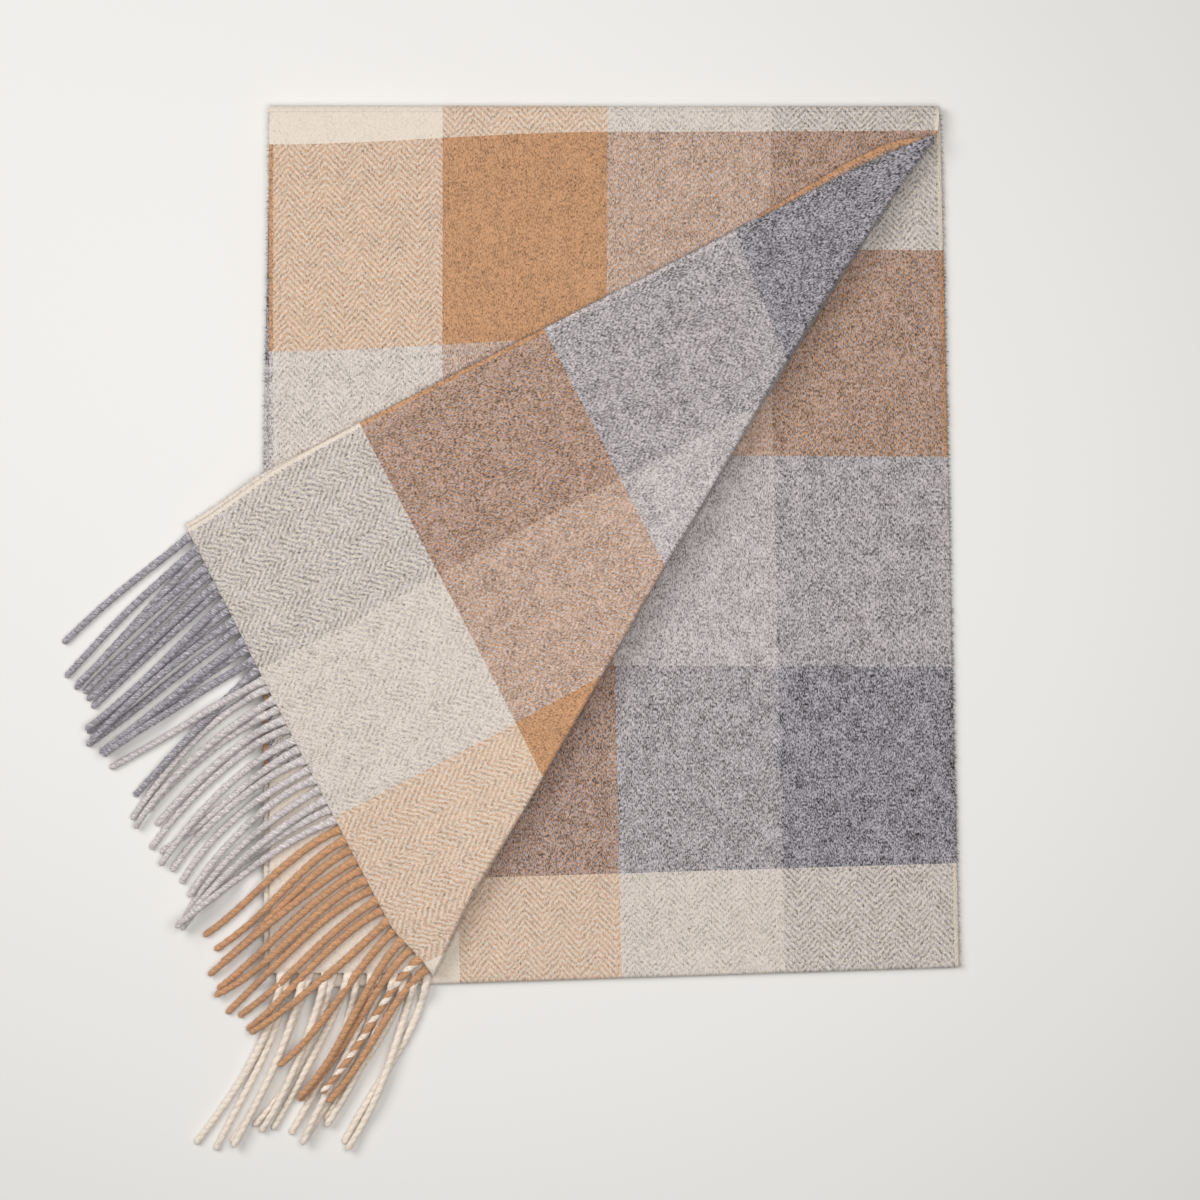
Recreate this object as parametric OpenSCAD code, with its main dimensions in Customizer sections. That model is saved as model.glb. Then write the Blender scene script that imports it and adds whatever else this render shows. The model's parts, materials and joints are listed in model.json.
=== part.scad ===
// Long fringed cloth folded in half twice, with one corner of the upper leaf
// turned over along a diagonal crease. The origin is the middle of the
// underside of the lowest layer. The bottom fold lies along -Y.

/* [Cloth] */
// Width of the cloth from selvedge to selvedge
cloth_w = 350; // [250:5:450]
// Distance between the top fold and the bottom fold
folded_l = 452; // [400:2:520]
// Thickness of one brushed layer
cloth_t = 1.4; // [1:0.1:1.8]
// Air between one layer and the next
layer_gap = 0.5; // [0.4:0.1:1]

/* [Turned corner] */
// How far below the top fold the diagonal crease meets the right selvedge
crease_drop = 14; // [10:1:60]
// Where the crease meets the fringed end, measured from the left selvedge
crease_foot = 84; // [60:1:140]

/* [Tassels] */
// Tassels along one fringed end
tassel_count = 30; // [20:1:34]
// Length of a tassel
tassel_l = 92; // [60:2:110]
// Diameter of a twisted tassel
tassel_d = 4.2; // [3:0.1:4.6]
// Width of the flat root of a tassel where it leaves the cloth
root_w = 6; // [4:0.5:9]

/* [Colours] */
// Undyed yarn
cream = "#F0E6D4";
// Camel yarn
tan_yarn = "#C8986C";
// Light mottled yarn
light_grey = "#C6C2C3";
// Dark mottled yarn
dark_grey = "#8E8B91";

/* [Hidden] */

$fn = 64;
half_w = cloth_w / 2;
half_l = folded_l / 2;
pitch = cloth_t + layer_gap;
// clearance between panels that a hinge parts
hinge_gap = 0.3;
// the fringed ends stop a little short of the bottom fold
end_y = -half_l + 3;

// undersides of the four stacked layers, then of the turned corner's two
z_bottom = 0;
z_second = pitch;
z_lower = 2 * pitch;
z_upper = 3 * pitch;
z_top_fold = (z_upper + cloth_t) / 2;
z_bottom_fold = (z_second + cloth_t) / 2;
turn_gap = 0.6;
z_flap_fold = z_upper + cloth_t + turn_gap / 2;
z_under = z_upper + cloth_t + turn_gap;
z_outer = z_under + pitch;

// the crease, from the fringed end up to the right selvedge
foot = [crease_foot - half_w, end_y];
top = [half_w, half_l - crease_drop];
crease_l = norm(top - foot);
along = (top - foot) / crease_l;
crease_angle = atan2(along.y, along.x);
// unit vector from the crease into the turned corner
inward = [-along.y, along.x];

// mirror image of a point of the leaf in the crease
function turned(p) = foot + 2 * ((p - foot) * along) * along - (p - foot);

// one column of colour, measured from the left selvedge
column_w = cloth_w / 4;
tassel_pitch = cloth_w / tassel_count;
tassel_sides = 8;
tassel_r = tassel_d / 2;
// stations along a tassel: root, flare, full round, then even steps and a round tip
stations = [0, 7, 16, 26, 38, 50, 62, 74, tassel_l - 4, tassel_l - 1.5, tassel_l];
// half height and half width of the section at each station
half_high = [0.6, 1, tassel_r, tassel_r, tassel_r, tassel_r, tassel_r, tassel_r, tassel_r, 1.6, 0.7];
half_wide = [root_w / 2, 2.4, tassel_r, tassel_r, tassel_r, tassel_r, tassel_r, tassel_r, tassel_r, 1.6, 0.7];
// clearance between the cloth's edge and a root
root_gap = 0.1;
// headings in degrees
leaf_heading = 245;
flap_heading = 220;
flap_fan = 13;
// heights of a tassel's middle: on the table, and over tassels that lie there
z_table = tassel_r + 0.2;
z_over_tassels = 4 * tassel_r + 0.8;
z_over_leaf = z_upper + cloth_t + 0.4 + tassel_r;
// a tassel clears an edge by this much before it sinks, and sinks over this length
clear_edge = 5;
sink_l = 26;

module slab(outline, z) {
    translate([0, 0, z])
        linear_extrude(cloth_t)
            polygon(outline);
}

// half a tube of cloth about the local X axis, bulging towards -Y
module fold_strip(length, radius) {
    rotate([90, 0, 90])
        linear_extrude(length)
            intersection() {
                difference() {
                    circle(radius + cloth_t / 2);
                    circle(radius - cloth_t / 2);
                }
                translate([-2 * radius, -2 * radius])
                    square([2 * radius, 4 * radius]);
            }
}

module panel_outline(z) {
    slab([[-half_w, -half_l], [half_w, -half_l], [half_w, half_l], [-half_w, half_l]], z);
}

module leaf_outline(z) {
    hinge_y = half_l - hinge_gap;
    slab([[-half_w, end_y], foot, top, [half_w, hinge_y], [-half_w, hinge_y]], z);
}

module flap_outline(z) {
    shift = hinge_gap * inward;
    slab([foot + shift, top + shift, turned([half_w, end_y])], z);
}

module top_fold(radius) {
    translate([half_w, half_l, z_top_fold])
        rotate([0, 0, 180])
            fold_strip(cloth_w, radius);
}

module flap_fold(radius) {
    translate([foot.x, foot.y, z_flap_fold])
        rotate([0, 0, crease_angle])
            fold_strip(crease_l, radius);
}

// distance from a root until a tassel has left the leaf below it
function leaves_leaf(root, dir) =
    min((root.x + half_w + clear_edge) / -dir.x, (root.y - end_y + clear_edge) / -dir.y);

function smooth(t) = t <= 0 ? 0 : t >= 1 ? 1 : t * t * (3 - 2 * t);

// swept tube of one tassel: its flat root lies along the cloth's edge at z_root, then it runs level
// at z_run and sinks to z_end
module tassel(root, edge, heading, z_root, z_run, z_end, sink_at) {
    dir = [cos(heading), sin(heading)];
    side = [-dir.y, dir.x];
    start = root + root_gap * [edge.y, -edge.x];
    last = len(stations) - 1;
    function height(s) =
        z_root + (z_run - z_root) * smooth(s / 14) + (z_end - z_run) * smooth((s - sink_at) / sink_l);
    points = [
        for (i = [0:last], k = [0:tassel_sides - 1])
            let (
                across = i == 0 ? edge : side,
                p = start + dir * stations[i] + across * half_wide[i] * cos(360 * k / tassel_sides),
                z = height(stations[i]) + half_high[i] * sin(360 * k / tassel_sides)
            )
            [p.x, p.y, z]
    ];
    first_cap = [for (k = [0:tassel_sides - 1]) k];
    last_cap = [for (k = [tassel_sides - 1:-1:0]) last * tassel_sides + k];
    walls = [
        for (i = [0:last - 1], k = [0:tassel_sides - 1])
            let (
                next = (k + 1) % tassel_sides,
                near = i * tassel_sides,
                far = near + tassel_sides
            )
            [near + k, far + k, far + next, near + next]
    ];
    polyhedron(points, concat([first_cap], walls, [last_cap]), convexity = 4);
}

// a tassel that hangs from the part of the end that still lies in place
module leaf_tassel(u, z_root) {
    z_flat = max(z_root, z_bottom_fold + 3.5);
    tassel([u - half_w, end_y], [1, 0], leaf_heading, z_root, z_flat, z_table, clear_edge);
}

// a tassel that went over with the turned corner
module flap_tassel(u, z_root) {
    root = turned([u - half_w, end_y]);
    corner = turned([half_w, end_y]);
    edge = (foot - corner) / norm(foot - corner);
    heading = flap_heading + flap_fan * (cloth_w - u) / (cloth_w - crease_foot);
    dir = [cos(heading), sin(heading)];
    sink_at = max(clear_edge, leaves_leaf(root, dir));
    tip_x = root.x + dir.x * tassel_l;
    over_others = tip_x > -half_w - 2 * tassel_d - 18;
    z_run = max(z_root, z_over_leaf);
    tassel(root, edge, heading, z_root, z_run, over_others ? z_over_tassels : z_table, sink_at);
}

// every tassel of one end whose root lies in one column of colour; the lower end is half a step along
module tassels(column, is_upper) {
    count = is_upper ? tassel_count : tassel_count - 1;
    offset_u = is_upper ? tassel_pitch / 2 : tassel_pitch;
    z_leaf = (is_upper ? z_upper : z_lower) + cloth_t / 2;
    z_flap = (is_upper ? z_under : z_outer) + cloth_t / 2;
    for (i = [0:count - 1]) {
        u = offset_u + i * tassel_pitch;
        if (floor(u / column_w + 0.001) == column) {
            if (u < crease_foot)
                leaf_tassel(u, z_leaf);
            else
                flap_tassel(u, z_flap);
        }
    }
}

module panel_bottom() { color(cream) panel_outline(z_bottom); }
module panel_second() { color(light_grey) panel_outline(z_second); }
module fold_bottom() {
    color(tan_yarn)
        translate([-half_w, -half_l, z_bottom_fold])
            fold_strip(cloth_w, pitch / 2);
}
module fold_top_outer() { color(cream) top_fold(3 * pitch / 2); }
module fold_top_inner() { color(cream) top_fold(pitch / 2); }
module leaf_lower() { color(dark_grey) leaf_outline(z_lower); }
module leaf_upper() { color(light_grey) leaf_outline(z_upper); }
module fold_flap_outer() { color(tan_yarn) flap_fold(z_outer + cloth_t / 2 - z_flap_fold); }
module fold_flap_inner() { color(tan_yarn) flap_fold(z_under + cloth_t / 2 - z_flap_fold); }
module flap_under() { color(tan_yarn) flap_outline(z_under); }
module flap_outer() { color(light_grey) flap_outline(z_outer); }
module tassels_upper_cream() { color(cream) tassels(0, true); }
module tassels_upper_tan() { color(tan_yarn) tassels(1, true); }
module tassels_upper_light() { color(light_grey) tassels(2, true); }
module tassels_upper_dark() { color(dark_grey) tassels(3, true); }
module tassels_lower_cream() { color(cream) tassels(0, false); }
module tassels_lower_tan() { color(tan_yarn) tassels(1, false); }
module tassels_lower_light() { color(light_grey) tassels(2, false); }
module tassels_lower_dark() { color(dark_grey) tassels(3, false); }

panel_bottom();
panel_second();
fold_bottom();
fold_top_outer();
fold_top_inner();
leaf_lower();
leaf_upper();
fold_flap_outer();
fold_flap_inner();
flap_under();
flap_outer();
tassels_upper_cream();
tassels_upper_tan();
tassels_upper_light();
tassels_upper_dark();
tassels_lower_cream();
tassels_lower_tan();
tassels_lower_light();
tassels_lower_dark();
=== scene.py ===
import json
import math

import bpy
import numpy as np
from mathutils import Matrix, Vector


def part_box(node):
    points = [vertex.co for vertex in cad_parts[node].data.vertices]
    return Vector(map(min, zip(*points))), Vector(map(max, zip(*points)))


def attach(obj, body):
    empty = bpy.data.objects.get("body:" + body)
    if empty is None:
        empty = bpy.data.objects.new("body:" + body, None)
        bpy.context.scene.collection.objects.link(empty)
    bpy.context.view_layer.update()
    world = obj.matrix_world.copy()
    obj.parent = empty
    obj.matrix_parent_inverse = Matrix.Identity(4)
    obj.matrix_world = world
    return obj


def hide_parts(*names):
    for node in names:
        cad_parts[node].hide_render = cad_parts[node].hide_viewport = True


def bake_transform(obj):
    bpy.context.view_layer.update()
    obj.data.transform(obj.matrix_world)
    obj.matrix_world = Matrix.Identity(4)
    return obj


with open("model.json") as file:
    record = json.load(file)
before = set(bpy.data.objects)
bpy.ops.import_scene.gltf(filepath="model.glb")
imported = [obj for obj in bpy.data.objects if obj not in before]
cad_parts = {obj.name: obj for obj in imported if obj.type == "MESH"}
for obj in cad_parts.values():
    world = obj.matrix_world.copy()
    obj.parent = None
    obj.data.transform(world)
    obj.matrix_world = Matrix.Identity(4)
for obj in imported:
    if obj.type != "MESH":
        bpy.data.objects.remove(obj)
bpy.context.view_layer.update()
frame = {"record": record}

# ---------------- sizes, in millimetres
MM = 0.001
TO_MM = 1000.0
SEED = 11


def middle_z(node):
    """Height of the middle of a flat CAD panel."""
    lowest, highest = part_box(node)
    return (lowest.z + highest.z) / 2 * TO_MM


HALF_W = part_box("panel_bottom")[1].x * TO_MM
HALF_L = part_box("panel_bottom")[1].y * TO_MM
END_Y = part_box("leaf_lower")[0].y * TO_MM
WIDTH = 2 * HALF_W
FOLDED = 2 * HALF_L
END_LENGTH = HALF_L - END_Y
Z_BOTTOM = middle_z("panel_bottom")
Z_SECOND = middle_z("panel_second")
Z_LOWER = middle_z("leaf_lower")
Z_UPPER = middle_z("leaf_upper")
Z_UNDER = middle_z("flap_under")
Z_OUTER = middle_z("flap_outer")

crease_joint = next(
    j for j in frame["record"]["behaviour"]["joints"] if j["name"] == "flap_fold"
)
FOOT = np.array(crease_joint["pos_m"][:2]) * TO_MM
ALONG = np.array(crease_joint["axis"][:2])
ALONG = ALONG / np.linalg.norm(ALONG)
INWARD = np.array([-ALONG[1], ALONG[0]])
CREASE_L = (HALF_W - FOOT[0]) / ALONG[0]
CREASE_END = CREASE_L * ALONG[1]
FOOT_U = FOOT[0] + HALF_W
# directions of the turned corner: away from the fringed end, and towards its free selvedge
TURNED_V = np.array([2 * ALONG[0] * ALONG[1], 2 * ALONG[1] ** 2 - 1])
TURNED_U = np.array([2 * ALONG[0] ** 2 - 1, 2 * ALONG[0] * ALONG[1]])

# one layer of cloth: its thickness, that of a bare border, and the spacing of its grid points
THICK = 1.3
HALF_THICK = THICK / 2
EDGE_THICK = 0.9
GRID = 3.5
FOLD_STEPS = 10
# how far a bare border bulges, as a share of its thickness
EDGE_BULGE = 0.45
# loose loops of weft along a selvedge: spacing, longest length, radius and depth of the root
WHISKER_STEP = 0.8
WHISKER_L = 2.6
WHISKER_R = 0.28
WHISKER_ROOT = 0.6
# corners of a thin closed spike are two sides of its root, the top of its root and its tip
SPIKE_FACES = ((0, 1, 2), (0, 3, 1), (1, 3, 2), (2, 3, 0))
SPIKE_TOP = 1.6

# place of each layer along the cloth, from one fringed end to the other
V_SECOND = 462.0
V_TOP_FOLD = 1374.0
V_END = 1828.0
# length of cloth in the round folds, and how much the second layer is drawn together near one
BOTTOM_ARC = 3.0
TOP_ARC = 9.0
DRAWN_V = 4.0
V_BOTTOM_FOLD = V_SECOND + FOLDED - DRAWN_V
V_UPPER = V_TOP_FOLD + TOP_ARC

# how far the round folds stand out
BOTTOM_BULGE = 1.25
TOP_BULGE_OUTER = 3.0
TOP_BULGE_INNER = 1.0

# unevenness of each layer; the higher it lies, the softer it is
SWELL_SECOND = 0.35
SWELL_LOWER = 0.6
SWELL_UPPER = 0.8
SWELL_UNDER = 0.9
SWELL_OUTER = 1.0

# the soft crease: places along it, and how far inside the hinge line it lies there
CREASE_AT = (0.0, 0.08, 0.17, 0.27, 0.38, 0.48, 0.62, 0.76, 0.86, 0.93, 1.0)
CREASE_IN = (-1.2, 1.6, 3.3, 4.6, 5.9, 7.3, 7.5, 7.2, 6.6, 5.9, 3.4)
# bulge of its fold, height of the two turned layers over it, and lift of the leaf beside it
CREASE_BULGE = 0.6
CREASE_LOFT = 8.0
UNDER_LOFT = 3.0
CREASE_LIFT = 1.0
# a crease strip has two level rows, on both sides of one height above the leaf: that height, and half the
# gap between those two rows in the outer strip and in the inner one
PARTING_H = 2.72
PARTING_OUTER = 1.7
PARTING_INNER = 0.3
Z_PARTING = Z_UPPER + PARTING_H

# colour columns across the width, and colour rows that repeat along the length
COLUMNS = (0.0, 89.5, 176.0, 261.5)
ROW_START = 101.0
ROW_REPEAT = 432.0
COLUMN_YARNS = ("cream", "tan", "light", "dark")
ROW_YARNS = ("tan", "light", "dark", "cream")

# linear colour and speckle of each yarn
YARN_COLOUR = {
    "cream": (0.755, 0.662, 0.565),
    "tan": (0.490, 0.264, 0.138),
    "light": (0.466, 0.424, 0.418),
    "dark": (0.238, 0.222, 0.242),
}
# painted light: tassels look lighter than the cloth, as their loose fibres catch the light, so their
# colours are brightened by these factors
TASSEL_PAINTED_LIGHT = {"cream": 1.08, "tan": 1.06, "light": 1.22, "dark": 1.32}
YARN_SPECKLE = {"cream": 0.19, "tan": 0.95, "light": 1.35, "dark": 2.7}
TWILL_CONTRAST = 0.25
WEFT_SHARE = 0.54


def smooth(t):
    """A soft step from 0 to 1."""
    t = np.clip(t, 0.0, 1.0)
    return t * t * (3 - 2 * t)


def ramp(value, start, length):
    """A soft step that begins at start and ends at start + length."""
    return smooth((value - start) / length)


# ---------------- shape of the folded cloth
# rise over the bottom fold and its reach
PUFF = 1.1
PUFF_REACH = 12
# the two lowest layers: drift to the right towards the bottom fold, how much the slope of their rows
# grows on the way, that slope at the top fold, and the x that the rows turn about
ASKEW_X = 9.8
ASKEW_SLOPE = 0.036
ASKEW_TOP = -0.004
ASKEW_PIVOT = -40
# how soon the pull of the crease fades in the leaf and in the turned corner
LEAF_FADE = 40
CORNER_FADE = 25
# reach of the leaf's lift and of the turned corner's roll
LIFT_REACH = 22
ROLL_REACH = 30
# the lower layer of the leaf shows past the upper one on the left
LEAF_DRIFT = -3.0
# slide of the turned corner at the foot of the crease, and how much more it slides further up
SLIDE_FOOT = 3.0
SLIDE_MORE = 3.4
# shears of the turned corner: at its fringed end, at the far end of its tassels and in its middle
FRINGED_SHEAR = -6.0
TIP_SHEAR = -5.0
MIDDLE_SHEAR = 7.0
# the turned corner hangs lower where it has passed the left selvedge
DROOP = 4.5
DROOP_REACH = 32


def swell(x, y, amount):
    """A soft unevenness that every layer shares, so that layers never cross."""
    wave = (
        np.sin(x / 61 + 0.4) * np.sin(y / 83 + 1.1)
        + 0.6 * np.sin((x + 0.7 * y) / 47 + 2.0)
        + 0.4 * np.sin((x - 0.5 * y) / 31 + 0.3)
    )
    return amount * (0.5 + 0.25 * wave)


def bottom_puff(y):
    """Layers stand a little higher over the round bottom fold."""
    return PUFF * np.exp(-(((y + HALF_L) / PUFF_REACH) ** 2))


def skewed(x, y):
    """The two lowest layers lie slightly askew under the leaf."""
    t = (HALF_L - y) / FOLDED
    slope = ASKEW_SLOPE * ramp(t, 0.62, 0.3) + ASKEW_TOP
    return x + ASKEW_X * t, y + slope * (x - ASKEW_PIVOT)


def from_crease(x, y):
    """Distance along the hinge line of the crease from its foot, and distance inwards from it."""
    rel_x, rel_y = x - FOOT[0], y - FOOT[1]
    return rel_x * ALONG[0] + rel_y * ALONG[1], rel_x * INWARD[0] + rel_y * INWARD[1]


def crease_shift(s):
    """How far the soft crease lies inside the straight line of the hinge."""
    return np.interp(s / CREASE_L, CREASE_AT, CREASE_IN)


def corner_shift(s):
    """The same for the body of the turned corner, which slides as one."""
    return SLIDE_FOOT + SLIDE_MORE * ramp(s / CREASE_L, 0.25, 0.2)


def crease_u(q):
    """Place across the width where the crease cuts a row; q is its distance from the fringed end."""
    return np.minimum(FOOT_U + q * ALONG[0] / ALONG[1], WIDTH)


def leaf_place(x, y, z, amount):
    """A point of the part of the leaf that stays, after the crease has pulled it."""
    s, d = from_crease(x, y)
    d = np.maximum(d, 0)
    past_top = smooth((y - FOOT[1] - CREASE_END + 8) / 18)
    pull = crease_shift(s) * np.exp(-d / LEAF_FADE) * (1 - 0.75 * past_top)
    is_lower = z < Z_UPPER - 0.5
    left = LEAF_DRIFT * ramp(HALF_L - y, 0, 200) * ramp(-x, 60, 115) * is_lower
    px = x + INWARD[0] * pull + left
    py = y + INWARD[1] * pull
    middle = np.sin(np.pi * np.clip(s / CREASE_L, 0, 1))
    lift = CREASE_LIFT * middle * np.exp(-((d / LIFT_REACH) ** 1.5))
    return np.stack([px, py, z + lift + swell(px, py, amount) + bottom_puff(py)], -1)


def corner_place(u, q, z, amount, loft):
    """A point of the turned corner; q is the distance from the fringed end."""
    s, d = from_crease(u - HALF_W, q + END_Y)
    d = np.maximum(-d, 0)
    t = s / CREASE_L
    body = corner_shift(s)
    pull = body + (crease_shift(s) - body) * np.exp(-d / CORNER_FADE)
    across = np.clip((u - crease_u(q)) / np.maximum(WIDTH - crease_u(q), 8), 0, 1)
    slide_v = FRINGED_SHEAR * smooth((u - FOOT_U - 2) / 30) * (1 - ramp(q, 0, 95))
    slide_v = slide_v + MIDDLE_SHEAR * ramp(q, 225, 80) * (1 - ramp(q, 350, 70)) * (across - 0.45)
    slide_u = TIP_SHEAR * ramp(u, 285, 65) * (1 - ramp(q, 0, 60))
    px = FOOT[0] + s * ALONG[0] + d * INWARD[0] + INWARD[0] * pull
    py = FOOT[1] + s * ALONG[1] + d * INWARD[1] + INWARD[1] * pull
    px = px + TURNED_V[0] * slide_v + TURNED_U[0] * slide_u
    py = py + TURNED_V[1] * slide_v + TURNED_U[1] * slide_u
    droop = DROOP * smooth((-HALF_W - px) / DROOP_REACH)
    ends = 0.25 + 0.75 * np.sin(np.pi * np.clip(t, 0, 1)) ** 0.7
    roll = loft * ends * (1 - 0.7 * ramp(t, 0.9, 0.1)) * np.exp(-((d / ROLL_REACH) ** 1.6))
    return np.stack([px, py, z - droop + roll + swell(px, py, amount)], -1)


def row_bow(u):
    """The weft of the upper leaf is drawn slightly bowed."""
    return -3.0 + 6.6 * ramp(u, 0, 176)


# ---------------- meshes
def add_mesh(name, points, faces, weave, twist=None, sharp=None):
    """A mesh from points in millimetres, with its place in the weave or the twist on every point."""
    mesh = bpy.data.meshes.new(name)
    mesh.from_pydata((points * MM).tolist(), [], faces)
    mesh.polygons.foreach_set("use_smooth", [True] * len(mesh.polygons))
    layers = {"weave": weave}
    if twist is not None:
        layers["twist"] = twist
    for layer, values in layers.items():
        attribute = mesh.attributes.new(layer, "FLOAT_VECTOR", "POINT")
        attribute.data.foreach_set("vector", values.astype(np.float32).ravel())
    if sharp is not None:
        mark_sharp(mesh, sharp)
    mesh.update()
    piece = bpy.data.objects.new(name, mesh)
    bpy.context.scene.collection.objects.link(piece)
    return piece


def mark_sharp(mesh, points):
    """Edges between two of these points keep a hard shade."""
    chosen = np.zeros(len(mesh.vertices), bool)
    chosen[list(points)] = True
    ends = np.zeros(len(mesh.edges) * 2, np.int32)
    mesh.edges.foreach_get("vertices", ends)
    ends = ends.reshape(-1, 2)
    attribute = mesh.attributes.new("sharp_edge", "BOOLEAN", "EDGE")
    attribute.data.foreach_set("value", chosen[ends[:, 0]] & chosen[ends[:, 1]])


def unit(vectors):
    """Vectors of length one."""
    return vectors / np.linalg.norm(vectors, axis=-1, keepdims=True)


def distance_along(line):
    """Distance of each point of a line from its start."""
    gaps = np.linalg.norm(np.diff(line, axis=0), axis=1)
    return np.concatenate([[0], np.cumsum(gaps)])


def interpolated(at, known, values):
    """Rows of values at new places."""
    return np.stack([np.interp(at, known, column) for column in values.T], -1)


def surface_normals(grid):
    """Unit normal at each point of a grid."""
    along_rows = np.gradient(grid, axis=0)
    along_columns = np.gradient(grid, axis=1)
    normal = np.cross(along_columns, along_rows)
    length = np.linalg.norm(normal, axis=-1, keepdims=True)
    return normal / np.maximum(length, 1e-9)


def border_of(rows, columns):
    """Row and column of each point round the border of a grid."""
    first = [(0, c) for c in range(columns)]
    right = [(r, columns - 1) for r in range(1, rows)]
    last = [(rows - 1, c) for c in range(columns - 2, -1, -1)]
    left = [(r, 0) for r in range(rows - 2, 0, -1)]
    return first + right + last + left


GRID_SIDES = {
    "first": (0, slice(None)),
    "last": (-1, slice(None)),
    "left": (slice(None), 0),
    "right": (slice(None), -1),
}


def whiskers(edge, outward, weave, first_index):
    """Short loose loops of weft that stand out of a selvedge, as thin closed spikes."""
    far = distance_along(edge)
    local = np.random.default_rng(SEED + len(edge) + int(abs(edge[0, 0])))
    at = np.arange(0.5, far[-1] - 0.5, WHISKER_STEP)
    at = at + local.normal(0, 0.3, len(at))
    points, faces, places = [], [], []
    for place in at:
        root = interpolated(place, far, edge)
        out = interpolated(place, far, outward)
        along = np.array([-out[1], out[0], 0.0])
        length = local.uniform(0.4, 1.0) ** 1.5 * WHISKER_L
        lean = local.normal(0, 0.6)
        tip = root + (out + along * lean) * length + np.array([0, 0, local.uniform(-0.4, 0.3)])
        root = root - out * WHISKER_ROOT
        side = along * WHISKER_R
        above = np.array([0, 0, WHISKER_R * SPIKE_TOP])
        start = first_index + len(points)
        points += [root - side, root + side, root + above, tip]
        faces += [[start + i for i in face] for face in SPIKE_FACES]
        places += [interpolated(place, far, weave)] * 4
    return points, faces, places


def selvedge(grid, weave, at):
    """A selvedge, its outward directions and its place in the weave; at is 0 or -1."""
    out = grid[:, at] - grid[:, 1 if at == 0 else -2]
    return grid[:, at], unit(out), weave[:, at]


def sheet_faces(rows, columns, up):
    """Faces of a closed sheet: its two sides, then the band round its border."""
    count = rows * columns
    index = np.arange(count).reshape(rows, columns)
    corners = [index[:-1, :-1], index[:-1, 1:], index[1:, 1:], index[1:, :-1]]
    quads = np.stack(corners, -1).reshape(-1, 4)
    border = [r * columns + c for r, c in border_of(rows, columns)]
    band = []
    for k, a in enumerate(border):
        following = (k + 1) % len(border)
        b = border[following]
        ring_a, ring_b = 2 * count + k, 2 * count + following
        band += [[b, a, ring_a, ring_b], [ring_b, ring_a, a + count, b + count]]
    if up < 0:
        quads = quads[:, ::-1]
        band = [face[::-1] for face in band]
    return quads.tolist() + (quads + count)[:, ::-1].tolist() + band


def border_ring(grid, weave, seams):
    """The middle line of a sheet's border, which bulges where it is bare, and the grid points in seams."""
    rows, columns = grid.shape[:2]
    in_seam = np.zeros((rows, columns), bool)
    for side in seams:
        in_seam[GRID_SIDES[side]] = True
    ring, ring_weave = [], []
    for r, c in border_of(rows, columns):
        near = grid[min(max(r, 1), rows - 2), min(max(c, 1), columns - 2)]
        out = grid[r, c] - near
        length = np.linalg.norm(out)
        bulge = 0.0 if in_seam[r, c] or length < 1e-6 else EDGE_BULGE * EDGE_THICK / length
        ring.append(grid[r, c] + out * bulge)
        ring_weave.append(weave[r, c])
    return np.array(ring), np.array(ring_weave), np.flatnonzero(in_seam)


def thick_sheet(name, grid, weave, seams=(), up=1.0, fuzzy=()):
    """A closed sheet of cloth about a grid of middle points.

    Borders in seams join another piece, and each line in fuzzy carries whiskers.
    """
    rows, columns = grid.shape[:2]
    half = np.full((rows, columns, 1), HALF_THICK)
    for side, where in GRID_SIDES.items():
        if side not in seams:
            half[where] = EDGE_THICK / 2
    raised = surface_normals(grid) * up * half
    ring, ring_weave, in_seam = border_ring(grid, weave, seams)
    points = np.concatenate([(grid + raised).reshape(-1, 3), (grid - raised).reshape(-1, 3), ring])
    flat_weave = weave.reshape(-1, 2)
    places = np.concatenate([flat_weave, flat_weave, ring_weave])
    faces = sheet_faces(rows, columns, up)
    for edge, outward, edge_weave in fuzzy:
        more_points, more_faces, more_places = whiskers(edge, outward, edge_weave, len(points))
        points = np.concatenate([points, more_points])
        places = np.concatenate([places, more_places])
        faces += more_faces
    places = np.concatenate([places, np.zeros((len(places), 1))], 1)
    sharp = np.concatenate([in_seam, in_seam + rows * columns])
    return add_mesh(name, points, faces, places, sharp=sharp)


# ---------------- grids of the layers and folds
def stack_grid():
    """Middle points and weave of the two lowest layers with the fold between them, as one cloth."""
    columns = np.linspace(0, WIDTH, int(WIDTH / GRID) + 1)
    drawn = columns + 3.2 * ramp(columns, 0, 258) * (1 - ramp(columns, 258, 92))
    rows_y = np.linspace(HALF_L, -HALF_L, int(FOLDED / GRID))
    lines, weave = [], []

    def add_row(line, u, v):
        lines.append(line)
        weave.append(np.stack([u, np.full_like(columns, v)], -1))

    for y in rows_y:
        px, py = skewed(columns - HALF_W, np.full_like(columns, y))
        z = Z_SECOND + swell(px, py, SWELL_SECOND) + bottom_puff(py)
        v = V_SECOND + HALF_L - y - DRAWN_V * ramp((HALF_L - y) / FOLDED, 0.45, 0.4)
        add_row(np.stack([px, py, z], -1), drawn, v)
    border = lines[-1]
    z_middle = (border[:, 2] + Z_BOTTOM) / 2
    rise = (border[:, 2] - Z_BOTTOM) / 2
    for k in range(1, FOLD_STEPS):
        angle = math.pi * k / FOLD_STEPS
        line = border.copy()
        line[:, 2] = z_middle + rise * math.cos(angle)
        line[:, 1] -= BOTTOM_BULGE * math.sin(angle)
        add_row(line, drawn, V_BOTTOM_FOLD + BOTTOM_ARC * k / FOLD_STEPS)
    v_start = V_BOTTOM_FOLD + BOTTOM_ARC
    for y in rows_y[::-1]:
        px, py = skewed(columns - HALF_W, np.full_like(columns, y))
        share = (y + HALF_L) / FOLDED
        v = v_start + (V_TOP_FOLD - v_start) * share
        add_row(np.stack([px, py, np.full_like(px, Z_BOTTOM)], -1), columns, v)
    return np.array(lines), np.array(weave)


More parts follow.
